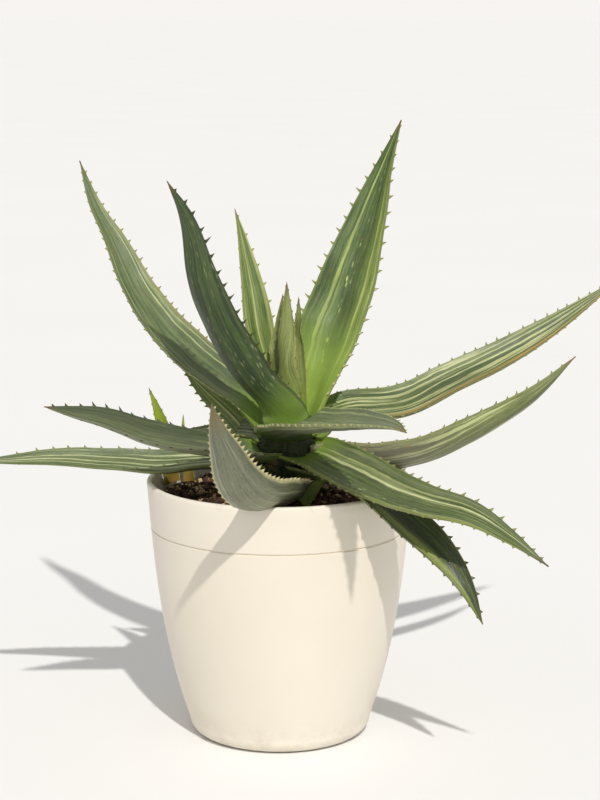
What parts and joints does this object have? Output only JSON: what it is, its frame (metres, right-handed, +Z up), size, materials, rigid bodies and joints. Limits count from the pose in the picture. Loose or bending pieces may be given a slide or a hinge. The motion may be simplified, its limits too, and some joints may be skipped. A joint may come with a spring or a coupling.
{
  "type": "potted aloe plant",
  "caption": "Aloe rosette with toothed, striped, channelled leaves, growing in soil in a tapered round pot with a thin groove below its rim.",
  "frame": {"origin": "middle of the pot's flat underside, which stands on the ground", "axes": "+Z up, along the pot's axis; -Y towards the plant's front, +X to the right as seen from the front"},
  "size_m": [0.3512, 0.2742, 0.322],
  "materials": {
    "pot": "satin",
    "soil": "matte",
    "stem": "matte",
    "leaf": "satin"
  },
  "bodies": {
    "root": {"pot": "pot", "soil": "soil", "stem": "stem", "bud_front_leaf": "leaf", "bud_left_leaf": "leaf", "bud_right_leaf": "leaf", "slim_back_leaf": "leaf", "tall_right_leaf": "leaf", "upright_left_leaf": "leaf", "upper_left_leaf": "leaf", "short_front_leaf": "leaf", "upper_right_leaf": "leaf", "rear_left_leaf": "leaf", "rear_right_leaf": "leaf", "front_right_leaf": "leaf", "striped_left_leaf": "leaf", "back_left_leaf": "leaf", "lower_right_leaf": "leaf", "left_leaf": "leaf", "low_left_leaf": "leaf", "drooping_leaf": "leaf", "curled_front_leaf": "leaf", "left_pup_tall_leaf": "leaf", "left_pup_short_leaf": "leaf", "front_pup_leaf": "leaf"}
  },
  "joints": []
}
